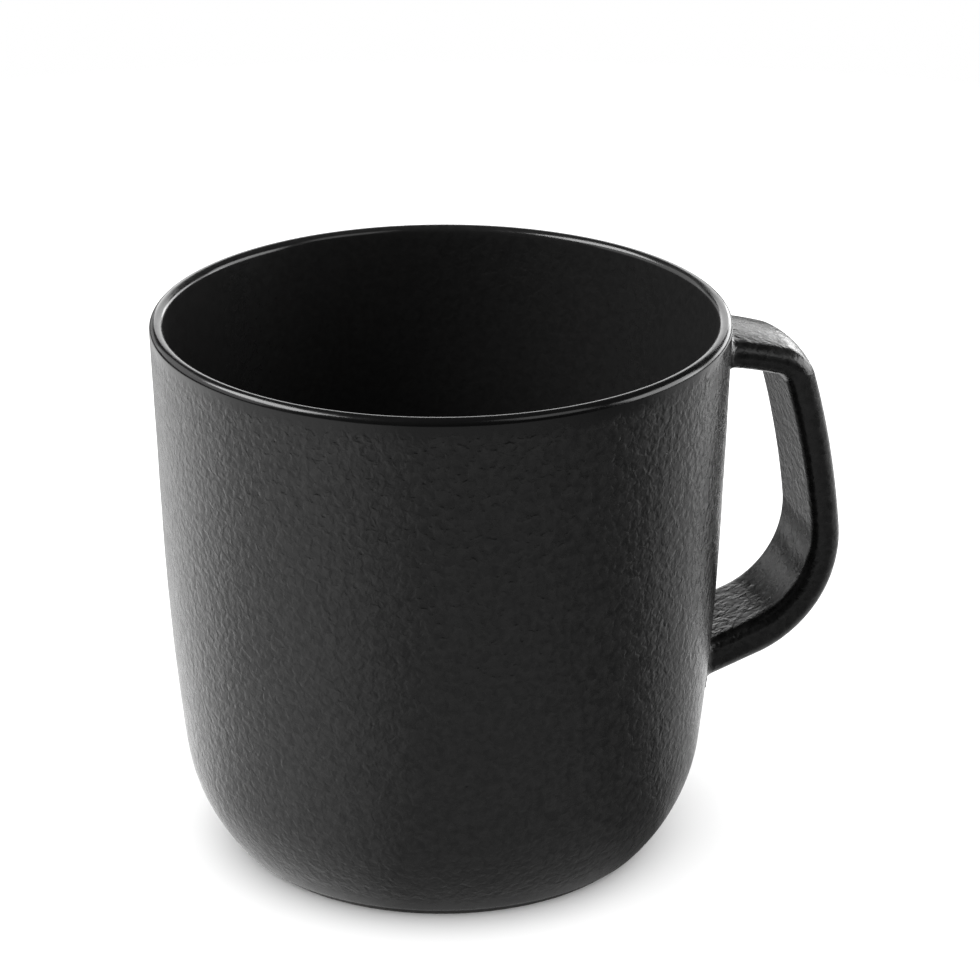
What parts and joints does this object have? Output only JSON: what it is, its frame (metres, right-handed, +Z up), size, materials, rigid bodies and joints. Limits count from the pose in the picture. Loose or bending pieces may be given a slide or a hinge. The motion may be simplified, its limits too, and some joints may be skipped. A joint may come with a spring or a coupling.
{
  "type": "ceramic mug",
  "caption": "Tapered ceramic mug with a rounded bottom corner, a flat foot ring and a wide angular strap handle.",
  "frame": {"origin": "centre of the foot, on the cup's axis in the plane that the mug stands on", "axes": "+Z up along the cup's axis, +X from the axis towards the handle"},
  "size_m": [0.1071, 0.088, 0.085],
  "materials": {
    "clay": "bare fired dark stoneware, fine and matt",
    "satin_glaze": "satin black with a fine leathery grain",
    "gloss_glaze": "glossy black with small pinholes",
    "slip": "satin black bead"
  },
  "bodies": {
    "root": {"cup_body": "clay", "outer_glaze": "satin_glaze", "liner_glaze": "gloss_glaze", "underside_glaze": "gloss_glaze", "handle": "clay", "handle_glaze": "satin_glaze", "upper_slip_joint": "slip", "lower_slip_joint": "slip"}
  },
  "joints": []
}
